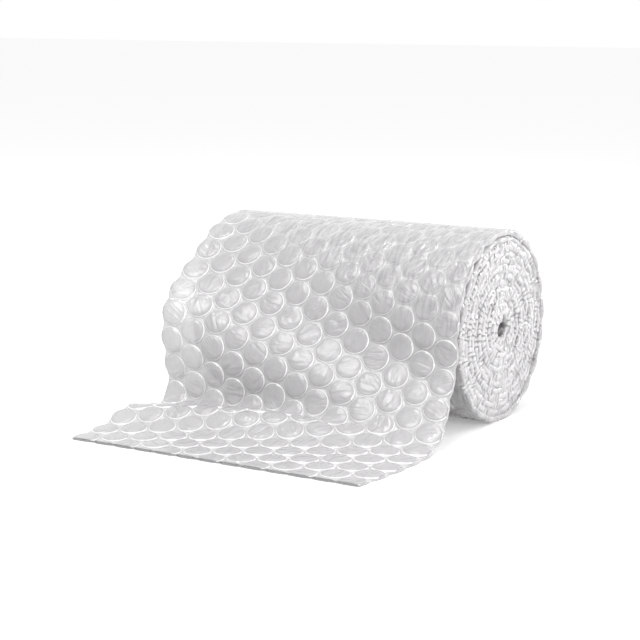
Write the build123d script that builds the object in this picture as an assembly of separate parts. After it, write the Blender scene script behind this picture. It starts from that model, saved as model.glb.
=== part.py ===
"""A roll of air bubble film lying on the floor, with its loose end pulled forward.

Millimetres. +X runs along the roll, the loose end lies towards -Y and +Z is up.
The origin is the middle of the flat spot that the soft roll rests on.
The film is one continuous web, so the wound turns and the loose end are one solid.
Its outer faces stand at the height of the bubble tops.
"""
import math
import os

from build123d import *

# The film
FILM_WIDTH = 300.0  # across the web, which is the length of the roll
FILM_THICKNESS = 6.4  # the backing film with the bubbles that stand on it
TORN_THICKNESS = 3.0  # at the torn edge, where the bubbles are open and flat

# The wound turns
ROLL_RADIUS = 94.6  # outside of the last turn, at the top of the roll
TURN_PITCH = 6.8  # from one turn to the next
EYE_RADIUS = 5.4  # the innermost turn curls round about this much air
REST_WIDTH = 30.0  # the flat spot under the soft roll
SEAM_WIDTH = 1.0  # the gap that shows between two turns in the end faces
SEAM_DEPTH = 4.0

# The loose end. Each station gives the outer face of the film at one place across the web:
# the angle round the roll where it leaves, counted from the back over the top, and then the
# points that it passes. Each point's first number is how far it lies in front of the roll.
# The second is its height, for the hanging part as a share of the height of the roll's axis,
# and for the fold that lies on the floor in millimetres.
STATIONS = [
    # across, leaves, hanging part,
    #  fold on the floor, where it lies flat
    (0.00, 106.0, [(-42.1, 1.92), (-2.6, 1.62), (35.9, 1.28), (46.1, 0.76)],
     [(43.7, 15.0), (101.4, 18.5), (129.4, 10.5)], 150.4),
    (0.25, 134.0, [(-10.1, 1.56), (13.4, 1.25), (35.4, 0.93), (43.4, 0.56)],
     [(44.4, 17.0), (81.4, 22.0), (111.4, 12.0)], 141.4),
    (0.50, 150.0, [(0.2, 1.28), (15.4, 0.96), (33.4, 0.69), (41.4, 0.44)],
     [(47.4, 20.0), (69.4, 22.5), (97.4, 11.5)], 127.4),
    (0.75, 168.0, [(1.9, 0.93), (11.9, 0.69), (27.4, 0.46), (38.4, 0.31)],
     [(48.4, 18.0), (63.4, 15.0), (83.4, 9.0)], 109.4),
    (1.00, 180.0, [(1.4, 0.80), (8.4, 0.60), (19.4, 0.44), (31.4, 0.32)],
     [(43.4, 18.0), (56.4, 10.5), (73.4, 7.0)], 95.4),
]
FLAT_RUN = 33.0  # from the farthest place where the film lies flat to the torn edge

# The right-hand edge of the loose end stands out past the end of the roll: distance in front
# of the roll, and how far out the edge is there.
FLARE = [(2.4, 0.0), (35.4, 7.5), (73.4, 12.0), (124.4, 11.5)]
TORN_FLARE = 6.5

# Construction values
FLOOR_GAP = 0.1  # the loose end's underside stays this far above the floor
SINK = 1.6  # how deep the lapped film is set into the turn below, so that both are one solid
TUCK_BACK = 8.0  # how far behind the top of the roll the lap starts, inside the last turn
TUCK_DEPTH = 0.9  # how far below the surface it starts there
LAP_START = 93.0  # the angle round the roll from which the lap shows as its own turn
CONTACT_STEPS = 4  # points on the lap from there to where the film leaves
PATH_STEPS = 36  # points that carry the film's thickness from its outer to its inner face
MARGIN = 20.0  # how far a cutting body reaches past what it cuts

bottom_radius = ROLL_RADIUS - TURN_PITCH / 2
axis_height = math.sqrt(bottom_radius**2 - (REST_WIDTH / 2) ** 2)
turn_count = int((ROLL_RADIUS - EYE_RADIUS) / TURN_PITCH)
half_width = FILM_WIDTH / 2
torn_edge = ROLL_RADIUS + max(station[-1] for station in STATIONS) + FLAT_RUN


def half_turn(top_radius, front):
    """One half of a spiral turn, as an arc from the top to the bottom of the roll.

    The back half comes down a quarter pitch inside top_radius, and the front half leads on
    from there to the next turn in, a whole pitch further in at the top.
    """
    if front:
        radius = top_radius + TURN_PITCH / 4
        centre = (0, axis_height - TURN_PITCH / 4)
        return CenterArc(centre, radius, 90, 180)
    radius = top_radius - TURN_PITCH / 4
    centre = (0, axis_height + TURN_PITCH / 4)
    return CenterArc(centre, radius, -90, 180)


def across(section, x):
    """Stand a flat drawing of the roll's section upright at x."""
    return Plane(origin=(x, 0, 0), x_dir=(0, 1, 0), z_dir=(1, 0, 0)) * section


def wound_turns():
    """The roll: the last turn's outline, carried along the width of the film."""
    back = half_turn(ROLL_RADIUS, front=False)
    front = half_turn(ROLL_RADIUS - TURN_PITCH, front=True)
    step = Line(front @ 0, back @ 1)
    outline = across(make_face([back, front, step]), -half_width)
    return extrude(outline, amount=FILM_WIDTH, dir=(1, 0, 0))


def below_floor():
    """Everything under the floor, as a body to cut away: it leaves the roll its flat spot."""
    length = 4 * torn_edge
    return Box(length, length, MARGIN, align=(Align.CENTER, Align.CENTER, Align.MAX))


def seam_section():
    """The gap between the turns, wound from the eye out to the last turn, as a flat ribbon."""
    ribbon = Sketch()
    for turn in range(1, turn_count):
        top_radius = ROLL_RADIUS - turn * TURN_PITCH
        for front in (True, False):
            middle = half_turn(top_radius, front)
            centre = middle.arc_center
            outer = CenterArc(centre, middle.radius + SEAM_WIDTH / 2, 90 if front else -90, 180)
            inner = CenterArc(centre, middle.radius - SEAM_WIDTH / 2, 90 if front else -90, 180)
            ends = [Line(outer @ 0, inner @ 0), Line(outer @ 1, inner @ 1)]
            ribbon += make_face([outer, inner, *ends])
    return ribbon


def end_seams():
    """The seam as it shows in both end faces."""
    ribbon = seam_section()
    left = extrude(across(ribbon, -half_width), amount=SEAM_DEPTH, dir=(1, 0, 0))
    right = extrude(across(ribbon, half_width), amount=SEAM_DEPTH, dir=(-1, 0, 0))
    return left, right


def eye():
    """The small hole that the innermost turn leaves, right through the roll."""
    section = Pos(0, axis_height) * Circle(EYE_RADIUS)
    return extrude(across(section, -half_width - MARGIN), amount=FILM_WIDTH + 2 * MARGIN, dir=(1, 0, 0))


def outer_path(leaves, hanging, fold, landing):
    """The outer face of the loose end in one section, from its lap on the roll to the tear."""
    lap = half_turn(ROLL_RADIUS, front=True)
    tuck_radius = ROLL_RADIUS - TURN_PITCH / 4 - TUCK_DEPTH
    tuck_height = math.sqrt(tuck_radius**2 - TUCK_BACK**2)
    tuck = Vector(TUCK_BACK, axis_height + TURN_PITCH / 4 + tuck_height)
    lap_step = (leaves - LAP_START) / CONTACT_STEPS
    lap_angles = [LAP_START + step * lap_step for step in range(CONTACT_STEPS + 1)]
    on_roll = [tuck] + [lap @ ((angle - 90) / 180) for angle in lap_angles]
    free = [Vector(-ROLL_RADIUS - out, share * axis_height) for out, share in hanging]
    free += [Vector(-ROLL_RADIUS - out, height) for out, height in fold]
    lies_flat = ROLL_RADIUS + landing
    free.append(Vector(-lies_flat, FILM_THICKNESS))
    free.append(Vector(-(lies_flat + torn_edge) / 2, (FILM_THICKNESS + TORN_THICKNESS) / 2))
    free.append(Vector(-torn_edge, TORN_THICKNESS))
    return Spline(*on_roll, *free)


def film_section(leaves, hanging, fold, landing):
    """The closed section of the loose end: its outer face, and its inner face a film below.

    The inner face never goes below the floor, and inside the lap it is sunk into the roll.
    """
    outer = outer_path(leaves, hanging, fold, landing)
    lap_end = (leaves - 90) / 180 * math.pi * ROLL_RADIUS / outer.length
    inner_points = []
    for step in range(PATH_STEPS + 1):
        t = step / PATH_STEPS
        depth = FILM_THICKNESS + (SINK if t < lap_end else 0)
        inward = (outer % t).rotate(Axis.Z, 90)
        point = outer @ t + inward * depth
        inner_points.append(Vector(point.X, max(point.Y, FLOOR_GAP)))
    inner = Spline(*inner_points)
    return make_face([outer, inner, Line(outer @ 0, inner @ 0), Line(outer @ 1, inner @ 1)])


def beyond_right_edge():
    """Everything to the right of the loose end's flared edge, as a body to cut away."""
    edge_points = [(half_width + out, -ROLL_RADIUS - forward) for forward, out in FLARE]
    edge_points.append((half_width + TORN_FLARE, -torn_edge))
    edge = Spline(*edge_points)
    front = Line(edge @ 1, (half_width + TORN_FLARE, -torn_edge - MARGIN))
    far = half_width + max(out for _, out in FLARE) + 2 * MARGIN
    outside = Polyline(
        front @ 1,
        (far, -torn_edge - MARGIN),
        (far, MARGIN),
        (half_width, MARGIN),
        edge @ 0,
    )
    cutter = extrude(make_face([edge, front, outside]), amount=2 * ROLL_RADIUS + MARGIN)
    return Pos(0, 0, -MARGIN / 2) * cutter


def loose_end():
    """The loose end: sections lofted across the web and trimmed to its flared right edge."""
    sections = []
    for share, leaves, hanging, fold, landing in STATIONS:
        x = -half_width + share * FILM_WIDTH
        sections.append(across(film_section(leaves, hanging, fold, landing), x))
    past_edge = half_width + max(out for _, out in FLARE) + MARGIN / 4
    sections.append(across(film_section(*STATIONS[-1][1:]), past_edge))
    return loft(sections) - beyond_right_edge()


def bubble_film():
    """The whole film: the wound turns and the loose end as one solid."""
    roll = wound_turns() + loose_end() - below_floor()
    roll -= eye()
    for seam in end_seams():
        roll -= seam
    return roll


film = bubble_film()
film.label = "bubble_film"
os.makedirs("parts", exist_ok=True)
export_step(film, "parts/bubble_film.step")
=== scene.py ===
"""A roll of clear air bubble film with its loose end pulled forward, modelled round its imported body.

The film is one web. A place on it is given by u, the distance across the web from its middle,
and s, the length along the web from the torn edge. One function carries u and s into space, and
everything that shows is worked out on that flat web first. Sizes are in metres.
"""

import math

import bpy
import numpy as np
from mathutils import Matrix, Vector


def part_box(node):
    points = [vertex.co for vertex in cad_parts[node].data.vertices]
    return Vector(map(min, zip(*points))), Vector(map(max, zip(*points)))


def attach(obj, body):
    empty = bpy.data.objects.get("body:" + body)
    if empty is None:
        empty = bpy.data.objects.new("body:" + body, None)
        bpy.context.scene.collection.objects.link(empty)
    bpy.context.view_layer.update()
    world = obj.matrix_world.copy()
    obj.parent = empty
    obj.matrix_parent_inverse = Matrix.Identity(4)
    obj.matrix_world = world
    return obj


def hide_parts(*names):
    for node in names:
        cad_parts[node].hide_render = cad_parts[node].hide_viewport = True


bl_info = {
    "name": "Air bubble film roll",
    "version": (1, 0, 0),
    "blender": (4, 5, 0),
    "location": "View3D > Sidebar > Bubble film",
    "description": "Builds a roll of air bubble film with its loose end, and a plain studio round it",
    "category": "Add Mesh",
}

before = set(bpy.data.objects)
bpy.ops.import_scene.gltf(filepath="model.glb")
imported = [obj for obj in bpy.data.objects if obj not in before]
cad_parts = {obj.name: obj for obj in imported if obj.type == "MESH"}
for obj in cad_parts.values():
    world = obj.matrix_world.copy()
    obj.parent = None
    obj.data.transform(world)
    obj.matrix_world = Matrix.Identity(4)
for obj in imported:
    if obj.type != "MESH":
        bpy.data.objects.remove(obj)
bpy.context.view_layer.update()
NODE = "bubble_film"
NODE_LOW, NODE_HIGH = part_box(NODE)
ROLL_BACK = NODE_HIGH.y
HALF_WIDTH = -NODE_LOW.x
TORN_EDGE = -NODE_LOW.y
TOP_HEIGHT = NODE_HIGH.z

# How the loose end lies. Each station is one place across the web, from the left edge to the
# right: the angle round the roll where the film leaves, counted from the back over the top, the
# points of the hanging part, those of the fold on the floor, and where the film lies flat.
# A point is how far it lies in front of the roll and how high, and for the hanging part the
# height is a share of the height of the roll's axis.
STATIONS = [
    (0.00, 106.0, [(-0.0421, 1.92), (-0.0026, 1.62), (0.0359, 1.28), (0.0461, 0.76)],
     [(0.0437, 0.0150), (0.1014, 0.0185), (0.1294, 0.0105)], 0.1504),
    (0.25, 134.0, [(-0.0101, 1.56), (0.0134, 1.25), (0.0354, 0.93), (0.0434, 0.56)],
     [(0.0444, 0.0170), (0.0814, 0.0220), (0.1114, 0.0120)], 0.1414),
    (0.50, 150.0, [(0.0002, 1.28), (0.0154, 0.96), (0.0334, 0.69), (0.0414, 0.44)],
     [(0.0474, 0.0200), (0.0694, 0.0225), (0.0974, 0.0115)], 0.1274),
    (0.75, 168.0, [(0.0019, 0.93), (0.0119, 0.69), (0.0274, 0.46), (0.0384, 0.31)],
     [(0.0484, 0.0180), (0.0634, 0.0150), (0.0834, 0.0090)], 0.1094),
    (1.00, 180.0, [(0.0014, 0.80), (0.0084, 0.60), (0.0194, 0.44), (0.0314, 0.32)],
     [(0.0434, 0.0180), (0.0564, 0.0105), (0.0734, 0.0070)], 0.0954),
]
# The right-hand edge stands out past the end of the roll: distance in front, and how far out.
FLARE = [
    (0.0, 0.0), (0.0024, 0.0), (0.0354, 0.0075), (0.0734, 0.0120), (0.1244, 0.0115), (0.1834, 0.0065),
]
# Points of the loose end's grid across and along the web, and how much finer its columns are
# measured.
GRID_ACROSS = 61
GRID_ALONG = 420
GRID_FINER = 4

# The roll: its flat spot, the angle just past its top where the loose end's columns begin, their
# points from there to where they leave it, the share of the eye's radius where the spiral stops,
# and how often the search for the roll's radius halves its range.
REST_WIDTH = 0.030
LAP_ANGLE = 93.0
LAP_POINTS = 5
SPIRAL_STOP = 0.3
HALVINGS = 60
# How many turns the outer film goes on for under the lap, and how far before and after the film
# leaves the roll it clings to it.
OUTER_TURNS = 1.12
CLINGS = (-0.012, 0.030)
# The side edges of the inner turns stand in by this share, in two waves, from the first angle on
# and in full from the second.
STANDS_IN = 0.006
STANDS_IN_ANGLES = (3, 7)
# Air under the loose end, how softly the floor presses film up to it, and the length over which
# the bubbles fall to their height at the torn edge.
ABOVE_FLOOR = 0.0002
FLOOR_PRESS = 0.0006
TORN_TAPER = 0.050

# Bubbles differ: least and most fullness, spread of the lean to a side and what a lean of 1 adds
# over a metre, dent in the middle as average and spread, and spread of the rim's ripple. A foot
# ends at this share of the way to its cell's outline at most.
FULLNESS = (0.80, 1.0)
LEAN = 0.06
LEAN_PER_METRE = 80
DENT = (0.06, 0.12)
RIPPLE = 0.035
FOOT_LIMIT = 0.97
# Valleys between them, as a share of a bubble's height, and how much shallower they are towards
# the roll's top, between two heights, where the film lies on the roll, and within a band at the
# ends of the wound turns.
VALLEY = 0.52
TOP_SHALLOWER = 0.38
TOP_BAND = (0.150, 0.178)
LYING_SHALLOWER = 0.35
END_SHALLOWER = 0.6
END_BAND = 0.012
WELD_THICKNESS = 0.0004
# Reach is the distance from a bubble's middle over the radius of its foot. Scallops: how far an
# edge is drawn in, and the reaches between which it grows to that.
SIDE_SCALLOP = (0.0022, 0.95, 1.40)
TORN_SCALLOP = (0.0030, 0.70, 1.06)
# Rows of the rim between the two faces: share of the height, and share of the bulge. The bulge is
# a share of the height too, uneven at the sides and even at the tear.
RIM_ROWS = ((0.8, 0.6), (0.5, 1.0), (0.2, 0.6))
SIDE_BULGE = (0.12, 0.34)
TORN_BULGE = 0.8
# Reach given to vertices that aren't on the outer face: the backing is all weld, a rim is none.
BACKING_REACH = 2.0
RIM_REACH = 0.0
# Vertices nearer than this are one, and those nearer than the next to an edge are on it.
SAME_PLACE = 1e-6
ON_EDGE = 1e-5
SHEET_SEED = 7

# The tubes over the ends of the wound turns. Each row gives the spacing of the puckers and their
# least and most: how far out they stand, then their height and their middle's, both as a share of
# a bubble's height. The room for them grows once the last turn is past.
TUBE_OUT = (0.0040, 0.0016, 0.0031)
TUBE_TALL = (0.0060, 1.3, 1.9)
TUBE_MIDDLE = (0.0055, 0.30, 0.70)
TUBE_ROOM = 0.97
TUBE_MORE_ROOM = 0.68
TUBE_ROOM_GROWS = (0.52, 0.60)
TUBE_INSET = 0.0025
TUBE_START = 0.010
TUBE_STEP = 0.0015
TUBE_SIDES = 12
TUBE_BOXY = 0.42
TUBE_SEED = 23
PUCKER_UNEVEN = 0.35
SAME_SEED_RUN = 40

# Grain of the film's creases, streaks and haze: repeats per metre across and along the web.
CREASE_GRAIN = (32, 95, 1)
STREAK_GRAIN = (420, 45, 1)
HAZE_GRAIN = (270, 52, 1)
# How far the creases of a bubble with seed 1 are from those of one with seed 0 in the pattern, the
# haze where the film is free and what lying on the roll adds to it, the reach at which the weld, painted
# lighter to lift the shade between the bubbles, begins and over which it becomes whole, and the reach of
# its ring, a painted highlight, with how much fainter the highlight is where the film lies on the roll.
CREASES_MOVE_ON = 37.0
HAZE_FREE = 0.25
HAZE_LYING = 1.75
WELD_FROM = 0.97
WELD_WITHIN = 0.05
RING_AT = 0.975
RING_FAINTER = 0.6
# Near white of the painted highlight ring round each bubble's foot.
RING_HIGHLIGHT_COLOUR = (0.97, 0.97, 0.97, 1)

# The stage: half the floor's width, then each lamp's name, place, size, setting and share of it.
FAR = 12.0
LAMPS = (
    ("overhead", (0.0, -0.9, 1.6), (1.0, 0.9), "key_power", 1.0),
    ("right_strip", (1.4, -0.3, 0.25), (0.04, 0.5), "strip_power", 0.7),
    ("back_strip", (0.9, 1.5, 0.6), (0.10, 1.1), "strip_power", 1.0),
    ("high_spot", (-0.3, 0.1, 1.9), (0.35, 0.35), "strip_power", 0.5),
)
LAMP_AIM = (0.0, -0.05, 0.08)
CAMERA_PLACE = (0.88206, -1.50556, 0.40011)
CAMERA_AIM = (-0.05352, -0.002, 0.07856)
CAMERA_LENS = 100.07


class FilmSizes(bpy.types.PropertyGroup):
    """Sizes of the film and of the roll."""

    columns: bpy.props.IntProperty(
        name="Columns", description="Rows of bubbles side by side across the web", default=13, min=3
    )
    bubble_radius: bpy.props.FloatProperty(
        name="Bubble radius", description="Radius of a bubble's foot", default=0.0126, unit="LENGTH"
    )
    bubble_height: bpy.props.FloatProperty(
        name="Bubble height", description="Height of a full bubble above the backing", default=0.006,
        unit="LENGTH",
    )
    torn_height: bpy.props.FloatProperty(
        name="Torn height", description="Height of the open bubbles at the torn edge", default=0.003,
        unit="LENGTH",
    )
    turn_pitch: bpy.props.FloatProperty(
        name="Turn pitch", description="Distance from one turn to the next", default=0.0068,
        unit="LENGTH",
    )
    eye_radius: bpy.props.FloatProperty(
        name="Eye radius", description="Air inside the innermost turn", default=0.0054, unit="LENGTH"
    )


class FilmFinish(bpy.types.PropertyGroup):
    """Colours of the film."""

    film_colour: bpy.props.FloatVectorProperty(
        name="Film", description="Colour of the bubbles' film", default=(0.57, 0.56, 0.57),
        subtype="COLOR", min=0, max=1,
    )
    # The weld is painted lighter than the film, a painted lift of the shade between the bubbles.
    painted_lift_weld_colour: bpy.props.FloatVectorProperty(
        name="Weld", description="Colour where both faces are welded together",
        default=(0.66, 0.655, 0.662), subtype="COLOR", min=0, max=1,
    )
    density: bpy.props.FloatProperty(
        name="Density", description="Share of light that one face of the outer film stops", default=0.64,
        min=0, max=1, subtype="FACTOR",
    )
    wound_density: bpy.props.FloatProperty(
        name="Wound density", description="The same for the turns under it", default=0.6,
        min=0, max=1, subtype="FACTOR",
    )
    rim_density: bpy.props.FloatProperty(
        name="Rim density", description="The same for the puckered side edges", default=0.7,
        min=0, max=1, subtype="FACTOR",
    )
    # How much denser the painted highlight ring round each bubble is, so that its near white shows.
    ring: bpy.props.FloatProperty(
        name="Welded ring", description="How much denser the ring round a bubble is", default=0.36,
        min=0, max=1, subtype="FACTOR",
    )


class StageLook(bpy.types.PropertyGroup):
    """The plain studio."""

    floor_colour: bpy.props.FloatVectorProperty(
        name="Floor", description="Colour of the floor", default=(0.92, 0.92, 0.92), subtype="COLOR",
        min=0, max=1,
    )
    floor_glow: bpy.props.FloatProperty(
        name="Floor white", description="How far the floor is lifted to white where it is seen",
        default=0.28, min=0,
    )
    key_power: bpy.props.FloatProperty(
        name="Overhead lamp", description="Power of the large lamp above", default=14.0, min=0,
        unit="POWER",
    )
    strip_power: bpy.props.FloatProperty(
        name="Small lamps", description="Power that the three smaller lamps take a share of", default=9.0,
        min=0, unit="POWER",
    )
    world_level: bpy.props.FloatProperty(
        name="Surround", description="Brightness of the surround that lights the film", default=0.73,
        min=0,
    )


# ---- shape of the web ----


def spline(places, values, at):
    """Natural cubic spline: between two places the value is the cubic whose second derivatives
    there solve the tridiagonal system that makes slopes meet, and at the ends they are zero."""
    places, values = np.asarray(places, float), np.asarray(values, float)
    flat = values.reshape(len(places), -1)
    gap = np.diff(places)
    slope = np.diff(flat, axis=0) / gap[:, None]
    system = np.eye(len(places))
    inner = np.arange(1, len(places) - 1)
    system[inner, inner] = 2 * (gap[:-1] + gap[1:])
    system[inner, inner - 1] = gap[:-1]
    system[inner, inner + 1] = gap[1:]
    right = np.zeros_like(flat)
    right[1:-1] = 6 * np.diff(slope, axis=0)
    bend = np.linalg.solve(system, right)
    k = np.clip(np.searchsorted(places, at) - 1, 0, len(places) - 2)
    b = ((at - places[k]) / gap[k])[:, None]
    a = 1 - b
    curve = a * flat[k] + b * flat[k + 1]
    curve += ((a**3 - a) * bend[k] + (b**3 - b) * bend[k + 1]) * gap[k, None] ** 2 / 6
    return curve.reshape((len(at),) + values.shape[1:])


def smooth_step(value, low, high):
    """0 below low, 1 above high, and between them 3t^2 - 2t^3."""
    t = np.clip((value - low) / (high - low), 0, 1)
    return t * t * (3 - 2 * t)


class Web:
    """The film as a surface: at(u, s) gives places on its outer face and the outward normals."""

    def __init__(self, sizes):
        self.sizes = sizes
        self.pitch = 2 * HALF_WIDTH / sizes.columns / (math.sqrt(3) / 2)
        # the roll's top is its radius above the axis, and the axis is where the flat spot puts it
        low, high = 0.5 * ROLL_BACK, 1.5 * ROLL_BACK
        for _ in range(HALVINGS):
            middle = (low + high) / 2
            if middle + self.axis_for(middle) > TOP_HEIGHT:
                high = middle
            else:
                low = middle
        self.roll_radius = low
        self.axis = self.axis_for(low)
        self.loose_end()

    def axis_for(self, roll_radius):
        """Height of the axis: the bottom radius and half the flat spot as a right triangle."""
        bottom = roll_radius - self.sizes.turn_pitch / 2
        return math.sqrt(bottom**2 - (REST_WIDTH / 2) ** 2)

    def radius_at(self, angle):
        """Outer radius of the last turn: it grows by one turn pitch for each full circle."""
        return self.roll_radius + self.sizes.turn_pitch * (angle - 90) / 360

    def station_points(self, leaves, hanging, fold, flat):
        """Points of one station from its lap on the roll to the torn edge."""
        angle = np.linspace(LAP_ANGLE, leaves, LAP_POINTS)
        radius = self.radius_at(angle)
        up = self.axis + radius * np.sin(np.radians(angle))
        lap = np.stack([radius * np.cos(np.radians(angle)), up], 1)
        tall, torn = self.sizes.bubble_height, self.sizes.torn_height
        free = [(-self.roll_radius - out, share * self.axis) for out, share in hanging]
        free += [(-self.roll_radius - out, height) for out, height in fold]
        lies = self.roll_radius + flat
        free.append((-lies, tall + ABOVE_FLOOR))
        free.append((-(lies + TORN_EDGE) / 2, (tall + torn) / 2 + ABOVE_FLOOR))
        free.append((-TORN_EDGE, torn + ABOVE_FLOOR))
        return np.vstack([lap, free])

    def loose_end(self):
        """The loose end as a grid: across the web the stations' points follow splines, each
        column is a spline through its points, and it is sampled at equal lengths from the tear.
        The flare moves a place out by the cube of its share across the web."""
        shares = [station[0] for station in STATIONS]
        points = np.array([self.station_points(*station[1:]) for station in STATIONS])
        share = np.linspace(0, 1, GRID_ACROSS)
        columns = spline(shares, points, share)[:, ::-1]
        grid = np.zeros((GRID_ACROSS, GRID_ALONG, 3))
        lengths = np.zeros(GRID_ACROSS)
        for i, column in enumerate(columns):
            step = np.hypot(*np.diff(column, axis=0).T)
            knots = np.concatenate([[0], np.cumsum(np.sqrt(step))])
            fine = spline(knots, column, np.linspace(0, knots[-1], GRID_FINER * GRID_ALONG))
            length = np.concatenate([[0], np.cumsum(np.hypot(*np.diff(fine, axis=0).T))])
            even = np.linspace(0, length[-1], GRID_ALONG)
            grid[i, :, 1] = np.interp(even, length, fine[:, 0])
            grid[i, :, 2] = np.interp(even, length, fine[:, 1])
            lengths[i] = length[-1]
        in_front = np.clip(-grid[:, :, 1] - self.roll_radius, 0, FLARE[-1][0])
        flare = spline([f[0] for f in FLARE], [f[1] for f in FLARE], in_front.ravel())
        grid[:, :, 0] = ((2 * share - 1) * HALF_WIDTH)[:, None]
        grid[:, :, 0] += flare.reshape(in_front.shape) * share[:, None] ** 3
        normal = np.cross(np.gradient(grid, axis=0), np.gradient(grid, axis=1))
        normal /= np.linalg.norm(normal, axis=2, keepdims=True)
        self.grid, self.normal, self.length = grid, normal, lengths.mean()

    def wound(self, u, s):
        """The wound turns: an Archimedean spiral that runs in from the lap. Its backing's length
        fixes the angle, because radius times angle adds up to a quadratic in the angle."""
        shrink = self.sizes.turn_pitch / (2 * math.pi)
        outer = self.radius_at(LAP_ANGLE)
        backing = outer - self.sizes.bubble_height
        square = backing**2 - 2 * shrink * (s - self.length)
        square = np.maximum(square, (SPIRAL_STOP * self.sizes.eye_radius) ** 2)
        turned = (backing - np.sqrt(square)) / shrink
        radius = outer - shrink * turned
        angle = math.radians(LAP_ANGLE) - turned
        waves = 1 + 0.5 * np.sin(2.3 * turned) + 0.5 * np.sin(0.9 * turned)
        across = u * (1 - STANDS_IN * smooth_step(turned, *STANDS_IN_ANGLES) * waves)
        place = np.stack([across, radius * np.cos(angle), self.axis + radius * np.sin(angle)], -1)
        normal = np.stack([0 * u, np.cos(angle), np.sin(angle)], -1)
        return place, normal

    def lying(self, u, s):
        """1 where the film lies on the roll and 0 where it is free: the length at which each
        column leaves the roll is the loose length less the arc from there to the lap's start."""
        shares, angles = zip(*(station[:2] for station in STATIONS))
        leaves = spline(shares, angles, u / HALF_WIDTH / 2 + 0.5)
        off_roll = self.length - self.roll_radius * np.radians(leaves - LAP_ANGLE)
        return smooth_step(s - off_roll, *CLINGS)

    def outer_rows(self):
        """Rows of bubbles in the loose end and the last turn, on until the lap covers it again."""
        return round((self.length + 2 * math.pi * self.roll_radius * OUTER_TURNS) / self.pitch)

    def wound_length(self):
        """Length of the wound web: the area between the lap's circle and the eye's, over the pitch."""
        backing = self.radius_at(LAP_ANGLE) - self.sizes.bubble_height
        return (backing**2 - self.sizes.eye_radius**2) * math.pi / self.sizes.turn_pitch

    def at(self, u, s):
        """Places on the outer face and normals there: the spiral, or between the grid's points, each
        of the four round a place weighted by how near it is. The last point is just out of reach."""
        across = (u / HALF_WIDTH + 1) / 2 * (GRID_ACROSS - 1)
        across = np.clip(across, 0, GRID_ACROSS - 1 - SAME_PLACE)
        along = np.clip(s / self.length * (GRID_ALONG - 1), 0, GRID_ALONG - 1 - SAME_PLACE)
        i, j = across.astype(int), along.astype(int)
        a, b = (across - i)[:, None], (along - j)[:, None]
        between = [
            (1 - a) * ((1 - b) * field[i, j] + b * field[i, j + 1])
            + a * ((1 - b) * field[i + 1, j] + b * field[i + 1, j + 1])
            for field in (self.grid, self.normal)
        ]
        place, normal = between[0], between[1] / np.linalg.norm(between[1], axis=1, keepdims=True)
        wound_place, wound_normal = self.wound(u, s)
        on_roll = (s > self.length)[:, None]
        return np.where(on_roll, wound_place, place), np.where(on_roll, wound_normal, normal)

    def full_height(self, s):
        """Height of a full bubble: it falls to the torn height at the torn edge."""
        torn, full = self.sizes.torn_height, self.sizes.bubble_height
        return torn + (full - torn) * smooth_step(s, 0, TORN_TAPER)

    def stand(self, u, s, height):
        """Places at a height above the backing. The flat spot presses what would go through the
        floor up to it: z becomes half of z plus the root of z squared and a small square."""
        place, normal = self.at(u, s)
        place = place + normal * (height - self.full_height(s))[:, None]
        z = place[:, 2]
        place[:, 2] = (z + np.sqrt(z * z + FLOOR_PRESS * FLOOR_PRESS)) / 2
        return place


# ---- the bubbles ----


def crown(reach):
    """Profile of a bubble from its middle, reach 0, to its foot, reach 1: a flat top with steep
    round shoulders, the root of 1 - reach^6."""
    return np.sqrt(1 - np.clip(reach, 0, 1) ** 6)


def cell_outlines(web, rows, first_row, rays):
    """Outlines of the bubbles' cells on the flat web, each cell with the same number of rays.

    A cell is the hexagon that is nearer to its bubble than to any other: along a ray it ends at
    half a pitch over the cosine of the angle to the nearest side. At the web's two edges the
    hexagon's outer half is a rectangle. The torn edge crosses every column a quarter pitch from a
    bubble's middle, so it leaves one column most of a bubble and the next column a cap.
    """
    columns, pitch = web.sizes.columns, web.pitch
    edge = pitch * math.sqrt(3) / 4
    angle = np.arange(rays) * 2 * math.pi / rays
    ray = np.stack([np.cos(angle), np.sin(angle)], 1)
    to_side = np.mod(angle, math.pi / 3) - math.pi / 6
    hexagon = ray * (pitch / 2 / np.cos(to_side))[:, None]
    grid = np.meshgrid(np.arange(first_row, first_row + rows), np.arange(columns))
    row, column = grid[0].ravel(), grid[1].ravel()
    centre_u = -HALF_WIDTH + edge + column * 2 * edge
    centre_s = np.where(column % 2 == 0, pitch / 4, -pitch / 4) + row * pitch
    outline = np.repeat(hexagon[None], len(row), axis=0)
    # the rectangle at the web's edges; the ray nearest to each of its corners goes to that corner
    to_edge = edge / np.maximum(np.abs(ray[:, 0]), SAME_PLACE)
    to_next = pitch / 2 / np.maximum(np.abs(ray[:, 1]), SAME_PLACE)
    rectangle = ray * np.minimum(to_edge, to_next)[:, None]
    eighth = math.ceil(rays / 8 - 0.5)
    for on_edge, sign in ((column == 0, -1), (column == columns - 1, 1)):
        outer = ray[:, 0] * sign > SAME_PLACE
        boxed = np.where(outer[:, None], rectangle, hexagon)
        for turn in (eighth, -eighth):
            place = turn % rays if sign > 0 else (rays // 2 - turn) % rays
            boxed[place] = (sign * edge, math.copysign(pitch / 2, ray[place, 1]))
        outline[on_edge] = boxed
    # cells that the tear crosses: one with most of a bubble is cut off straight, and a cap keeps the
    # third of its rays that point away from the tear and has the ends of the rest along it
    pole = np.zeros((len(row), 2))
    kept = (centre_s > 0) & (centre_s < pitch / 2)
    cap = centre_s < 0
    over = np.maximum(-outline[kept][:, :, 1] / (pitch / 4), 1)
    outline[kept] /= over[:, :, None]
    pole[cap] = (0, 3 * pitch / 8)
    upper = np.arange(rays // 12, 5 * rays // 12 + 1)
    below = (np.arange(rays - len(upper)) + upper[-1] + 1) % rays
    half_cut = 0.75 * pitch / math.sqrt(3)
    along = np.linspace(-half_cut, half_cut, len(below) + 2)[1:-1]
    outline[np.ix_(cap, below)] = np.stack([along, np.full(len(below), pitch / 4)], 1)
    return np.stack([centre_u, centre_s], 1), pole, outline


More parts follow.
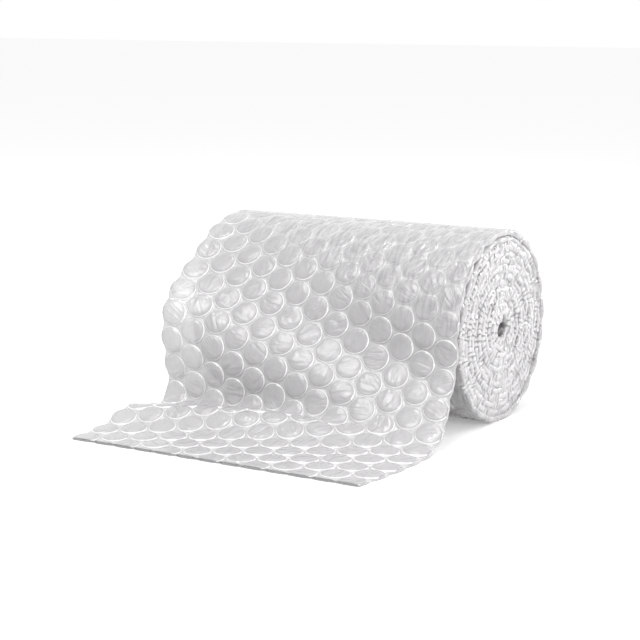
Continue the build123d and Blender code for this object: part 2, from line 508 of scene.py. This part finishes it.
def bubble_profiles(random, places, reach):
    """Share of the full height at places in each bubble: the crown, fuller or slacker from bubble
    to bubble, leaning to one side, dented in the middle and rippled round the rim by two waves."""
    count = len(places)
    fullness = random.uniform(*FULLNESS, (count, 1))
    lean = random.normal(0, LEAN, (count, 2))
    dent = np.maximum(random.normal(*DENT, (count, 1)), 0)
    ripple = random.normal(0, RIPPLE, (2, count, 1))
    phase = random.uniform(0, 2 * math.pi, (2, count, 1))
    round_it = np.arctan2(places[:, :, 1], places[:, :, 0])
    shape = 1 + (places @ lean[:, :, None])[:, :, 0] * LEAN_PER_METRE - dent * (1 - reach**2)
    for wave in range(2):
        shape += ripple[wave] * np.cos((wave + 2) * round_it + phase[wave]) * reach**2
    return np.minimum(crown(reach) * fullness * shape, 1.0), fullness[:, 0]


def relief(web, u, s):
    """How deep the valleys between bubbles are, as a share of their height: the film is drawn
    tight over the top of the roll and at the ends of the wound turns, so they are shallow there."""
    place, _ = web.at(u, s)
    deep = VALLEY - TOP_SHALLOWER * smooth_step(place[:, 2], *TOP_BAND)
    deep *= 1 - LYING_SHALLOWER * web.lying(u, s)
    pressed = smooth_step(np.abs(u), HALF_WIDTH - END_BAND, HALF_WIDTH) * (s > web.length)
    return deep * (1 - END_SHALLOWER * pressed)


def film_height(web, flat, share):
    """Height of the outer face above the backing, where a bubble has this share of its height: the
    full height less the valley's depth times what is missing, and never less than the weld."""
    deep = relief(web, flat[:, 0], flat[:, 1])
    return np.maximum(web.full_height(flat[:, 1]) * (1 - deep * (1 - share)), WELD_THICKNESS)


def foot_shares(pole, way, radius):
    """The share of each ray's way at which it crosses its bubble's foot: the positive root of the
    quadratic that makes the distance from the bubble's middle equal to the foot's radius."""
    a = (way**2).sum(2)
    b = 2 * (way * pole[:, None]).sum(2)
    c = (pole**2).sum(1)[:, None] - radius**2
    return np.minimum((-b + np.sqrt(b * b - 4 * a * c)) / (2 * a), FOOT_LIMIT)


def scalloped(border, reach):
    """Draws the web's edges in between the bubbles, and says which vertices are on which edge."""
    at_side = np.abs(border[:, 0]) > HALF_WIDTH - ON_EDGE
    at_tear = (border[:, 1] < ON_EDGE) & ~at_side
    drawn, low, high = SIDE_SCALLOP
    border[:, 0] -= np.sign(border[:, 0]) * drawn * smooth_step(reach, low, high) * at_side
    drawn, low, high = TORN_SCALLOP
    border[:, 1] += drawn * smooth_step(reach, low, high) * at_tear
    return at_side, at_tear


def only_once(shared, count):
    """Edges of the outlines that only one cell uses: those whose reverse is in no other cell."""
    directed = np.stack([shared, np.roll(shared, -1, axis=1)], -1).reshape(-1, 2)
    forward = directed[:, 0] * count + directed[:, 1]
    backward = directed[:, 1] * count + directed[:, 0]
    return directed[~np.isin(forward, backward)]


def sheet_faces(shared, rim, starts, rings):
    """Faces of a sheet: a fan round each middle, bands over the rings out to the outline, the
    backing's fans, and between the two faces the rim."""
    cells, rays = shared.shape
    middle = np.arange(cells)[:, None] * (1 + rings * rays)
    bands = [middle + 1 + k * rays + np.arange(rays) for k in range(rings)]
    bands.append(starts[1] + shared)
    following = [np.roll(band, -1, axis=1) for band in bands]
    back = starts[-3] + shared
    back_middle = starts[-2] + np.arange(cells)[:, None] + 0 * shared
    triangles = [np.stack([middle + 0 * shared, bands[0], following[0]], -1)]
    triangles.append(np.stack([back_middle, np.roll(back, -1, axis=1), back], -1))
    quads = [
        np.stack([bands[k], bands[k + 1], following[k + 1], following[k]], -1).reshape(-1, 4)
        for k in range(rings)
    ]
    for row in range(1, len(RIM_ROWS) + 2):
        top, low = rim + starts[row], rim + starts[row + 1]
        quads.append(np.stack([low[:, 0], low[:, 1], top[:, 1], top[:, 0]], -1))
    return np.concatenate(triangles).reshape(-1, 3), np.vstack(quads)


def bubble_sheet(web, rows, first_row, rays, rings):
    """Both faces of a stretch of web, closed at its edges, with a bubble in every cell.

    The outer face runs from each bubble's middle over its rings to its foot and on to the cell's
    outline. The backing is the same outline drawn flat. Between them the web's side edges bulge
    out as cut bubbles do, and the torn edge is drawn in.
    """
    centre, pole, outline = cell_outlines(web, rows, first_row, rays)
    cells, radius = len(centre), web.sizes.bubble_radius
    random = np.random.default_rng(SHEET_SEED + first_row)
    way = outline - pole[:, None]
    shares = foot_shares(pole, way, radius)[:, None] * np.array(rings)[None, :, None]
    ring_places = (pole[:, None, None] + way[:, None] * shares[..., None]).reshape(cells, -1, 2)
    places = np.concatenate([pole[:, None], ring_places], 1)
    reach = np.linalg.norm(places, axis=2) / radius
    profile, fullness = bubble_profiles(random, places, reach)
    # neighbours share the vertices of their outlines
    corners = (outline + centre[:, None]).reshape(-1, 2)
    keys = np.round(corners / SAME_PLACE).astype(np.int64)
    _, first, shared = np.unique(keys, axis=0, return_index=True, return_inverse=True)
    shared = shared.reshape(cells, rays)
    border = corners[first]
    owner = first // rays
    border_reach = (np.linalg.norm(outline, axis=2) / radius).ravel()[first]
    at_side, at_tear = scalloped(border, border_reach)
    inside = (places + centre[:, None]).reshape(-1, 2)
    border_height = film_height(web, border, crown(border_reach) * fullness[owner])
    # the vertices in order: inside, border, the rim's rows, the backing's border and its middles
    bulge = random.uniform(*SIDE_BULGE, cells)[owner] * border_height
    flats, heights = [inside, border], [film_height(web, inside, profile.ravel()), border_height]
    for up, out in RIM_ROWS:
        moved = border.copy()
        moved[:, 0] += np.sign(border[:, 0]) * bulge * out * at_side
        moved[:, 1] += TORN_BULGE * border_height * out * at_tear
        flats.append(moved)
        heights.append(border_height * up)
    flats += [border, centre + pole]
    heights += [np.zeros(len(border)), np.zeros(cells)]
    starts = np.cumsum([0] + [len(part) for part in flats])
    flat = np.vstack(flats)
    points = web.stand(flat[:, 0], flat[:, 1], np.concatenate(heights))
    reaches = np.full(len(flat), BACKING_REACH)
    reaches[: starts[1]] = reach.ravel()
    reaches[starts[1] : starts[2]] = border_reach
    reaches[starts[2] : starts[-3]] = RIM_REACH
    seeds = np.zeros(len(flat))
    seeds[: starts[1]] = random.uniform(0, 1, cells).repeat(places.shape[1])
    triangles, quads = sheet_faces(shared, only_once(shared, len(border)), starts, len(rings))
    return points, triangles, quads, flat, reaches, seeds, web.lying(flat[:, 0], flat[:, 1])


def puckers(random, s, spacing, low, high):
    """An uneven value along the edge: random values at uneven places, with straight lines between."""
    places = np.arange(s[0], s[-1] + 2 * spacing, spacing)
    places += random.uniform(-PUCKER_UNEVEN, PUCKER_UNEVEN, len(places)) * spacing
    return np.interp(s, places, random.uniform(low, high, len(places)))


def boxy(wave):
    """A sine or cosine raised to a power below one, with its sign kept."""
    return np.sign(wave) * np.abs(wave) ** TUBE_BOXY


def rim_tube(web, random, s, side):
    """One side's tube: its vertices on the flat web, their heights, and its quads and end caps.

    Its section is an ellipse drawn out to a rounded box. Its width is how far the edge is puckered
    out and its height is the film's, and both change along the edge.
    """
    turn = np.arange(TUBE_SIDES) * 2 * math.pi / TUBE_SIDES
    count = len(s) * TUBE_SIDES
    full = web.sizes.bubble_height
    out = puckers(random, s, *TUBE_OUT)
    tall = puckers(random, s, *TUBE_TALL) * full
    middle = puckers(random, s, *TUBE_MIDDLE) * full
    # the last turn's rim stays under its film; the rims inside it crowd into each other
    grows_from, grown_at = TUBE_ROOM_GROWS
    grown = smooth_step(s, s[0] + grows_from, s[0] + grown_at)
    room = (TUBE_ROOM + TUBE_MORE_ROOM * grown) * full
    tall = np.minimum(tall, room)
    middle = np.minimum(middle, room - tall / 2)
    inner = HALF_WIDTH - TUBE_INSET
    u = side * (inner + out[:, None] * boxy(np.cos(turn)))
    height = middle[:, None] + tall[:, None] / 2 * boxy(np.sin(turn))
    flat = np.stack([u.ravel(), np.repeat(s, TUBE_SIDES)], 1)
    flat = np.vstack([flat, [(side * inner, s[0]), (side * inner, s[-1])]])
    heights = np.concatenate([height.ravel(), middle[[0, -1]]])
    grid = np.arange(count).reshape(len(s), TUBE_SIDES)
    next_round = np.roll(grid, -1, axis=1)
    wall = np.stack([grid[:-1], grid[1:], next_round[1:], next_round[:-1]], -1).reshape(-1, 4)
    first = np.stack([np.full(TUBE_SIDES, count), grid[0], next_round[0]], -1)
    last = np.stack([np.full(TUBE_SIDES, count + 1), next_round[-1], grid[-1]], -1)
    faces = [wall, first, last]
    return flat, heights, [face if side > 0 else face[:, ::-1] for face in faces]


def edge_rims(web):
    """The two side edges of the wound turns, where both faces are sealed together over cut bubbles.
    Each is a closed tube along the spiral."""
    end = web.length + web.wound_length() - web.pitch / 3
    s = np.arange(web.length + TUBE_START, end, TUBE_STEP)
    random = np.random.default_rng(TUBE_SEED)
    points, flats, triangles, quads = [], [], [], []
    for side in (-1, 1):
        start = sum(len(part) for part in flats)
        flat, heights, (wall, first, last) = rim_tube(web, random, s, side)
        points.append(web.stand(flat[:, 0], flat[:, 1], heights))
        flats.append(flat)
        quads.append(wall + start)
        triangles += [first + start, last + start]
    flat = np.vstack(flats)
    runs = random.uniform(0, 1, len(flat) // SAME_SEED_RUN + 1)
    seeds = runs.repeat(SAME_SEED_RUN)[: len(flat)]
    reach, lying = np.full(len(flat), RIM_REACH), np.ones(len(flat))
    return np.vstack(points), np.vstack(triangles), np.vstack(quads), flat, reach, seeds, lying


def mesh_piece(name, sheet, material):
    """A mesh object at the origin, with the flat web as its UV map and smooth faces. Vertices that
    no face uses are left out."""
    points, triangles, quads, flat, reach, seeds, lying = sheet
    used = np.zeros(len(points), bool)
    used[triangles.ravel()] = True
    used[quads.ravel()] = True
    renumber = np.cumsum(used) - 1
    loops = renumber[np.concatenate([triangles.ravel(), quads.ravel()])]
    totals = np.concatenate([np.full(len(triangles), 3), np.full(len(quads), 4)])
    mesh = bpy.data.meshes.new(name)
    mesh.vertices.add(int(used.sum()))
    mesh.vertices.foreach_set("co", points[used].astype(np.float32).ravel())
    mesh.loops.add(len(loops))
    mesh.loops.foreach_set("vertex_index", loops.astype(np.int32))
    mesh.polygons.add(len(totals))
    mesh.polygons.foreach_set("loop_start", (np.cumsum(totals) - totals).astype(np.int32))
    mesh.polygons.foreach_set("loop_total", totals.astype(np.int32))
    mesh.polygons.foreach_set("use_smooth", np.ones(len(totals), bool))
    mesh.update(calc_edges=True)
    layer = mesh.uv_layers.new(name="film")
    layer.data.foreach_set("uv", flat[used][loops].astype(np.float32).ravel())
    for attribute, values in (("reach", reach), ("bubble", seeds), ("lying", lying)):
        data = mesh.attributes.new(attribute, "FLOAT", "POINT").data
        data.foreach_set("value", values[used].astype(np.float32))
    mesh.materials.append(material)
    if mesh.validate():
        raise RuntimeError(f"{name}: the mesh had faulty faces")
    piece = bpy.data.objects.new(name, mesh)
    bpy.context.scene.collection.objects.link(piece)
    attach(piece, "root")
    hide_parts(NODE)


# ---- finish ----


def add_node(tree, kind, settings=None, **inputs):
    """Add a node. A setting is one of its properties; an input, by its name with _ for a space or
    by i and its number, is a value or another node's output."""
    made = tree.nodes.new(kind)
    for key, value in (settings or {}).items():
        setattr(made, key, value)
    for key, value in inputs.items():
        numbered = key[0] == "i" and key[1:].isdigit()
        socket = made.inputs[int(key[1:])] if numbered else made.inputs[key.replace("_", " ")]
        if isinstance(value, bpy.types.NodeSocket):
            tree.links.new(value, socket)
        else:
            socket.default_value = value
    return made


def maths(tree, operation, first, second=0.0, clamp=False):
    """Output of one arithmetic node."""
    settings = {"operation": operation, "use_clamp": clamp}
    return add_node(tree, "ShaderNodeMath", settings, i0=first, i1=second).outputs[0]


def grain(tree, place, scale, **settings):
    """Noise at a place, with its own number of repeats per metre along each axis."""
    scaled = add_node(tree, "ShaderNodeMapping", Vector=place, Scale=scale).outputs[0]
    return add_node(tree, "ShaderNodeTexNoise", Vector=scaled, Scale=1.0, **settings).outputs["Fac"]


def film_skin():
    """Node group of everything drawn on the film: creases and streaks as a normal, and as masks
    the weld, where the colour is painted lighter to lift the shade between the bubbles, the ring
    round each bubble's foot, where a painted highlight goes, and the uneven haze."""
    if "film_skin" in bpy.data.node_groups:
        return bpy.data.node_groups["film_skin"]
    group = bpy.data.node_groups.new("film_skin", "ShaderNodeTree")
    for name, default in (("Crease depth", 0.0030), ("Streak depth", 0.0003), ("Ring width", 0.04)):
        socket = group.interface.new_socket(name, in_out="INPUT", socket_type="NodeSocketFloat")
        socket.default_value = default
    given, out = group.nodes.new("NodeGroupInput"), group.nodes.new("NodeGroupOutput")
    flat = add_node(group, "ShaderNodeUVMap", {"uv_map": "film"}).outputs[0]
    reach, seed, lying = (
        add_node(group, "ShaderNodeAttribute", {"attribute_name": name}).outputs["Fac"]
        for name in ("reach", "bubble", "lying")
    )
    # the weld begins just inside a bubble's foot, which is at reach 1
    past = maths(group, "SUBTRACT", reach, WELD_FROM)
    weld = maths(group, "DIVIDE", past, WELD_WITHIN, clamp=True)
    # each bubble's creases run their own way: the pattern is moved on by its seed and turned
    moved_on = maths(group, "MULTIPLY", seed, CREASES_MOVE_ON)
    shifted = add_node(group, "ShaderNodeVectorMath", {"operation": "ADD"}, i0=flat, i1=moved_on)
    own_way = add_node(
        group, "ShaderNodeVectorRotate", {"rotation_type": "Z_AXIS"}, Vector=shifted.outputs[0],
        Angle=maths(group, "MULTIPLY", seed, math.pi),
    )
    crease = grain(group, own_way.outputs[0], CREASE_GRAIN, Detail=3.0, Distortion=0.6)
    folded = maths(group, "ABSOLUTE", maths(group, "SUBTRACT", crease, 0.5))
    folded = maths(group, "MULTIPLY", folded, maths(group, "SUBTRACT", 1.0, weld))
    streak = grain(group, flat, STREAK_GRAIN, Detail=3.0)
    creases = maths(group, "MULTIPLY", folded, given.outputs["Crease depth"])
    streaks = maths(group, "MULTIPLY", streak, given.outputs["Streak depth"])
    rise = maths(group, "ADD", creases, streaks)
    bump = add_node(group, "ShaderNodeBump", Height=rise, Strength=1.0, Distance=1.0)
    # the painted highlight ring falls off to both sides of the foot, and is fainter where the film lies
    # on the roll
    off = maths(group, "ABSOLUTE", maths(group, "SUBTRACT", reach, RING_AT))
    off = maths(group, "DIVIDE", off, given.outputs["Ring width"])
    ring = maths(group, "SUBTRACT", 1.0, off, clamp=True)
    fainter = maths(group, "SUBTRACT", 1.0, maths(group, "MULTIPLY", lying, RING_FAINTER))
    ring = maths(group, "MULTIPLY", ring, fainter)
    # where the film lies on the turn below, the two cling together in streaks along the web
    clung = maths(group, "SUBTRACT", grain(group, flat, HAZE_GRAIN, Detail=5.0, Roughness=0.6), 0.5)
    more = maths(group, "ADD", HAZE_FREE, maths(group, "MULTIPLY", lying, HAZE_LYING))
    haze = maths(group, "MULTIPLY", clung, more)
    for name, kind, socket in (
        ("Normal", "NodeSocketVector", bump.outputs[0]), ("Ring", "NodeSocketFloat", ring),
        ("Haze", "NodeSocketFloat", haze), ("Weld", "NodeSocketFloat", weld),
    ):
        group.interface.new_socket(name, in_out="OUTPUT", socket_type=kind)
        group.links.new(socket, out.inputs[name])
    return group


def film_material(
    name, finish, density, edge_density, haze, roughness, painted_brightness=1.0, coat=0.0, crease=0.004, welded=True
):
    """Clear glossy film: it lets light straight through where it is seen square on, and gets
    denser where it is seen edge on, at the rings round the bubbles and in the haze's streaks. The
    rings are painted near white as a highlight, and the weld is painted lighter, a painted lift of
    the shade between the bubbles. A piece that has no weld to show has one colour."""
    material = bpy.data.materials.new(name)
    material.use_nodes = True
    tree = material.node_tree
    tree.nodes.clear()
    skin = add_node(tree, "ShaderNodeGroup", {"node_tree": film_skin()}, Crease_depth=crease)
    facing = add_node(tree, "ShaderNodeLayerWeight", Blend=0.5).outputs["Facing"]
    steep = maths(tree, "MULTIPLY", maths(tree, "POWER", facing, 2.0), edge_density)
    streaks = maths(tree, "MULTIPLY", skin.outputs["Haze"], haze)
    dense = maths(tree, "ADD", maths(tree, "ADD", steep, density), streaks)
    ring = maths(tree, "MULTIPLY", skin.outputs["Ring"], finish.ring)
    dense = maths(tree, "ADD", dense, ring, clamp=True)
    # the colour is scaled by a painted brightness: above 1 it paints a piece lighter to lift the shade it
    # sits in
    colour = (*(painted_brightness * part for part in finish.film_colour), 1)
    if welded:
        weld = (*(min(painted_brightness, 1) * part for part in finish.painted_lift_weld_colour), 1)
        # the weld is painted lighter to lift the shade between the bubbles, and the ring near white as a
        # painted highlight
        for mask, over in (("Weld", weld), ("Ring", RING_HIGHLIGHT_COLOUR)):
            mixed = add_node(
                tree, "ShaderNodeMixRGB", Fac=skin.outputs[mask], Color1=colour, Color2=over
            )
            colour = mixed.outputs[0]
    shader = add_node(
        tree, "ShaderNodeBsdfPrincipled", Alpha=dense, Roughness=roughness,
        Normal=skin.outputs["Normal"], Base_Color=colour, IOR=1.5, Specular_IOR_Level=0.9,
        Coat_Weight=coat, Coat_Roughness=0.06,
    )
    add_node(tree, "ShaderNodeOutputMaterial", Surface=shader.outputs[0])
    return material


# ---- operators ----


class BUBBLEFILM_OT_outer(bpy.types.Operator):
    """Build the last turn and the loose end as one sheet of bubbles"""

    bl_idname = "bubblefilm.outer"
    bl_label = "Outer film"

    def execute(self, context):
        web = Web(context.scene.film_sizes)
        finish = context.scene.film_finish
        material = film_material(
            "clear_film", finish, finish.density, edge_density=0.45, haze=0.6, roughness=0.14, coat=0.4
        )
        sheet = bubble_sheet(web, web.outer_rows(), first_row=0, rays=24, rings=(0.55, 0.84, 0.95, 1.0))
        mesh_piece("outer_film", sheet, material)
        return {"FINISHED"}


class BUBBLEFILM_OT_inner(bpy.types.Operator):
    """Build the wound turns under the last one"""

    bl_idname = "bubblefilm.inner"
    bl_label = "Inner turns"

    def execute(self, context):
        web = Web(context.scene.film_sizes)
        finish = context.scene.film_finish
        first = web.outer_rows()
        rows = int((web.length + web.wound_length()) / web.pitch) - first
        # the wound turns are painted 1.35 times lighter than the outer film, a painted lift of the shade
        # inside the roll
        material = film_material(
            "wound_film", finish, finish.wound_density, edge_density=0.35, haze=0.2, roughness=0.16,
            painted_brightness=1.35,
        )
        sheet = bubble_sheet(web, rows, first_row=first, rays=12, rings=(0.8, 1.0))
        mesh_piece("inner_turns", sheet, material)
        return {"FINISHED"}


class BUBBLEFILM_OT_rims(bpy.types.Operator):
    """Build the puckered side edges of the wound turns"""

    bl_idname = "bubblefilm.rims"
    bl_label = "Edge rims"

    def execute(self, context):
        web = Web(context.scene.film_sizes)
        finish = context.scene.film_finish
        # the rims are painted lighter than the outer film, a painted lift that sets how bright the end
        # faces look
        material = film_material(
            "rim_film", finish, finish.rim_density, edge_density=0.4, haze=0.1, roughness=0.07,
            painted_brightness=1.12, coat=1.0, crease=0.012, welded=False,
        )
        mesh_piece("edge_rims", edge_rims(web), material)
        return {"FINISHED"}


def turned_to(place, aim):
    """Rotation that points an object's -Z from a place at another."""
    return (Vector(aim) - Vector(place)).to_track_quat("-Z", "Y").to_euler()


def area_lamp(name, place, size, power):
    """A rectangular lamp that faces the roll."""
    data = bpy.data.lights.new(name, "AREA")
    data.shape = "RECTANGLE"
    data.size, data.size_y = size
    data.energy = power
    lamp = bpy.data.objects.new(name, data)
    bpy.context.scene.collection.objects.link(lamp)
    lamp.location = place
    lamp.rotation_euler = turned_to(place, LAMP_AIM)


def backdrop_strength(tree, seen_level, lit_level):
    """A strength that is seen_level where the camera, a reflection or glass shows the surface,
    and lit_level for the light that falls on the object."""
    path = tree.nodes.new("ShaderNodeLightPath")
    seen = path.outputs["Is Camera Ray"]
    for kind in ("Is Glossy Ray", "Is Transmission Ray"):
        seen = maths(tree, "MAXIMUM", seen, path.outputs[kind])
    return maths(tree, "ADD", maths(tree, "MULTIPLY", seen, seen_level - lit_level), lit_level)


def build_floor(look):
    """A plain pale floor that keeps the roll's shadow and shows white."""
    mesh = bpy.data.meshes.new("floor")
    corners = [(-FAR, -FAR, 0), (FAR, -FAR, 0), (FAR, FAR, 0), (-FAR, FAR, 0)]
    mesh.from_pydata(corners, [], [(0, 1, 2, 3)])
    floor = bpy.data.objects.new("floor", mesh)
    bpy.context.scene.collection.objects.link(floor)
    material = bpy.data.materials.new("pale_floor")
    material.use_nodes = True
    tree = material.node_tree
    tree.nodes.clear()
    matt = add_node(tree, "ShaderNodeBsdfDiffuse", Color=(*look.floor_colour, 1))
    glow = add_node(tree, "ShaderNodeEmission", Strength=backdrop_strength(tree, look.floor_glow, 0.0))
    both = add_node(tree, "ShaderNodeAddShader", i0=matt.outputs[0], i1=glow.outputs[0])
    add_node(tree, "ShaderNodeOutputMaterial", Surface=both.outputs[0])
    mesh.materials.append(material)


def build_surround(look):
    """A plain surround: white where it is seen, at a plain level where it lights the film."""
    world = bpy.data.worlds.new("surround")
    bpy.context.scene.world = world
    world.use_nodes = True
    tree = world.node_tree
    tree.nodes.clear()
    strength = backdrop_strength(tree, 1.0, look.world_level)
    back = add_node(tree, "ShaderNodeBackground", Color=(1, 1, 1, 1), Strength=strength)
    add_node(tree, "ShaderNodeOutputWorld", Surface=back.outputs[0])


def build_camera():
    """The camera, at eye level to the right of the roll's front."""
    camera = bpy.data.cameras.new("camera")
    camera.lens = CAMERA_LENS
    holder = bpy.data.objects.new("camera", camera)
    bpy.context.scene.collection.objects.link(holder)
    holder.location = CAMERA_PLACE
    holder.rotation_euler = turned_to(holder.location, CAMERA_AIM)
    bpy.context.scene.camera = holder


class BUBBLEFILM_OT_stage(bpy.types.Operator):
    """Build the pale floor, the lamps and the camera"""

    bl_idname = "bubblefilm.stage"
    bl_label = "Stage"

    def execute(self, context):
        look = context.scene.stage_look
        build_floor(look)
        build_surround(look)
        for name, place, size, setting, share in LAMPS:
            area_lamp(name, place, size, getattr(look, setting) * share)
        build_camera()
        context.scene.view_settings.view_transform = "Standard"
        context.scene.cycles.transparent_max_bounces = 32
        return {"FINISHED"}


class BUBBLEFILM_PT_panel(bpy.types.Panel):
    """Lists the pieces in the order in which they are built"""

    bl_idname = "BUBBLEFILM_PT_panel"
    bl_label = "Air bubble film"
    bl_space_type = "VIEW_3D"
    bl_region_type = "UI"
    bl_category = "Bubble film"

    def draw(self, context):
        for piece in OPERATORS:
            self.layout.operator(piece.bl_idname)


OPERATORS = (BUBBLEFILM_OT_outer, BUBBLEFILM_OT_inner, BUBBLEFILM_OT_rims, BUBBLEFILM_OT_stage)
GROUPS = {"film_sizes": FilmSizes, "film_finish": FilmFinish, "stage_look": StageLook}


def register():
    """Register the classes and hang the settings on the scene."""
    for group in GROUPS.values():
        bpy.utils.register_class(group)
    for name, group in GROUPS.items():
        setattr(bpy.types.Scene, name, bpy.props.PointerProperty(type=group))
    for made in (*OPERATORS, BUBBLEFILM_PT_panel):
        bpy.utils.register_class(made)


def unregister():
    """Undo register."""
    for made in (BUBBLEFILM_PT_panel, *reversed(OPERATORS)):
        bpy.utils.unregister_class(made)
    for name, group in GROUPS.items():
        delattr(bpy.types.Scene, name)
        bpy.utils.unregister_class(group)


def main():
    """Build everything."""
    register()
    bpy.ops.bubblefilm.outer()
    bpy.ops.bubblefilm.inner()
    bpy.ops.bubblefilm.rims()
    bpy.ops.bubblefilm.stage()


if __name__ == "__main__":
    main()
